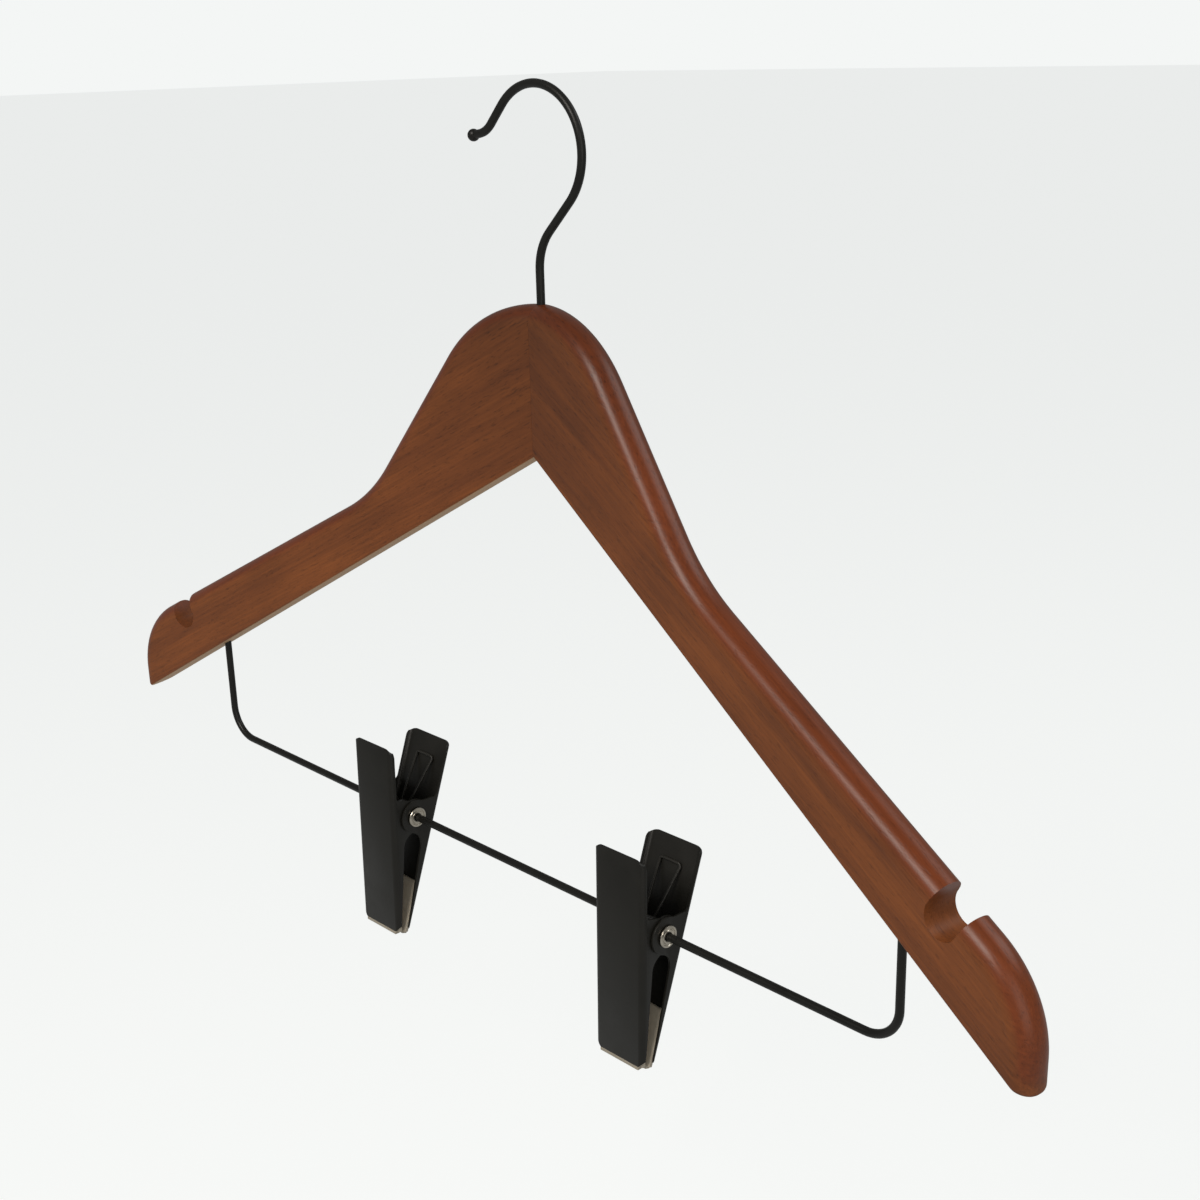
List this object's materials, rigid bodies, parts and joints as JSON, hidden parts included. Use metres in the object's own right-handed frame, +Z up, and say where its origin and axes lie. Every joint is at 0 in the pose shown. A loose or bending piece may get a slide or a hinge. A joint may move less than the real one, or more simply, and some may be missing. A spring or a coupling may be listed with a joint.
{
  "type": "clothes hanger",
  "caption": "Contoured wooden suit hanger with a swivel wire hook, strap notches, and sprung trouser clips that slide along a wire bar.",
  "frame": {"origin": "underside of the hook's crest, where the rail carries the hanger", "axes": "+X along the arms, +Y from the front of the garment to its back, +Z up"},
  "size_m": [0.4466, 0.0483, 0.3158],
  "materials": {
    "wood": "walnut stain under satin lacquer",
    "hook_wire": "satin black plated",
    "bar_wire": "satin black plated",
    "jaw_sheet": "satin black enamel",
    "spring_wire": "blackened spring steel",
    "nickel": "nickel plated",
    "pad_vinyl": "matt soft vinyl"
  },
  "bodies": {
    "hook": {"hook": "hook_wire"},
    "hanger": {"left_arm": "wood", "right_arm": "wood", "hook_washer": "nickel", "clip_bar": "bar_wire"},
    "left_rider": {"left_rivet": "nickel"},
    "left_back": {"left_back_jaw": "jaw_sheet", "left_back_pad": "pad_vinyl", "left_spring": "spring_wire"},
    "left_front": {"left_front_jaw": "jaw_sheet", "left_front_pad": "pad_vinyl"},
    "right_rider": {"right_rivet": "nickel"},
    "right_back": {"right_back_jaw": "jaw_sheet", "right_back_pad": "pad_vinyl", "right_spring": "spring_wire"},
    "right_front": {"right_front_jaw": "jaw_sheet", "right_front_pad": "pad_vinyl"}
  },
  "joints": [
    {"name": "hook_swivel", "type": "hinge", "parent": "hook", "child": "hanger", "pos_m": [0, 0, -0.06915], "axis": [0, 0, 1], "continuous": true},
    {"name": "left_clip_slide", "type": "slide", "parent": "hanger", "child": "left_rider", "axis": [1, 0, 0], "range_m": [-0.078, 0.046]},
    {"name": "left_clip_swing", "type": "hinge", "parent": "left_rider", "child": "left_back", "pos_m": [-0.062, -0.02847, -0.26455], "axis": [1, 0, 0], "continuous": true},
    {"name": "left_clip_open", "type": "hinge", "parent": "left_back", "child": "left_front", "pos_m": [-0.062, -0.02847, -0.26455], "axis": [-1, 0, 0], "range_deg": [0, 34], "stiffness_Nm_per_rad": 0.15, "springref_deg": -28.65, "deforming": ["left_spring"]},
    {"name": "right_clip_slide", "type": "slide", "parent": "hanger", "child": "right_rider", "axis": [1, 0, 0], "range_m": [-0.0525, 0.0715]},
    {"name": "right_clip_swing", "type": "hinge", "parent": "right_rider", "child": "right_back", "pos_m": [0.0685, -0.02847, -0.26455], "axis": [1, 0, 0], "continuous": true},
    {"name": "right_clip_open", "type": "hinge", "parent": "right_back", "child": "right_front", "pos_m": [0.0685, -0.02847, -0.26455], "axis": [-1, 0, 0], "range_deg": [0, 34], "stiffness_Nm_per_rad": 0.15, "springref_deg": -28.65, "deforming": ["right_spring"]}
  ]
}
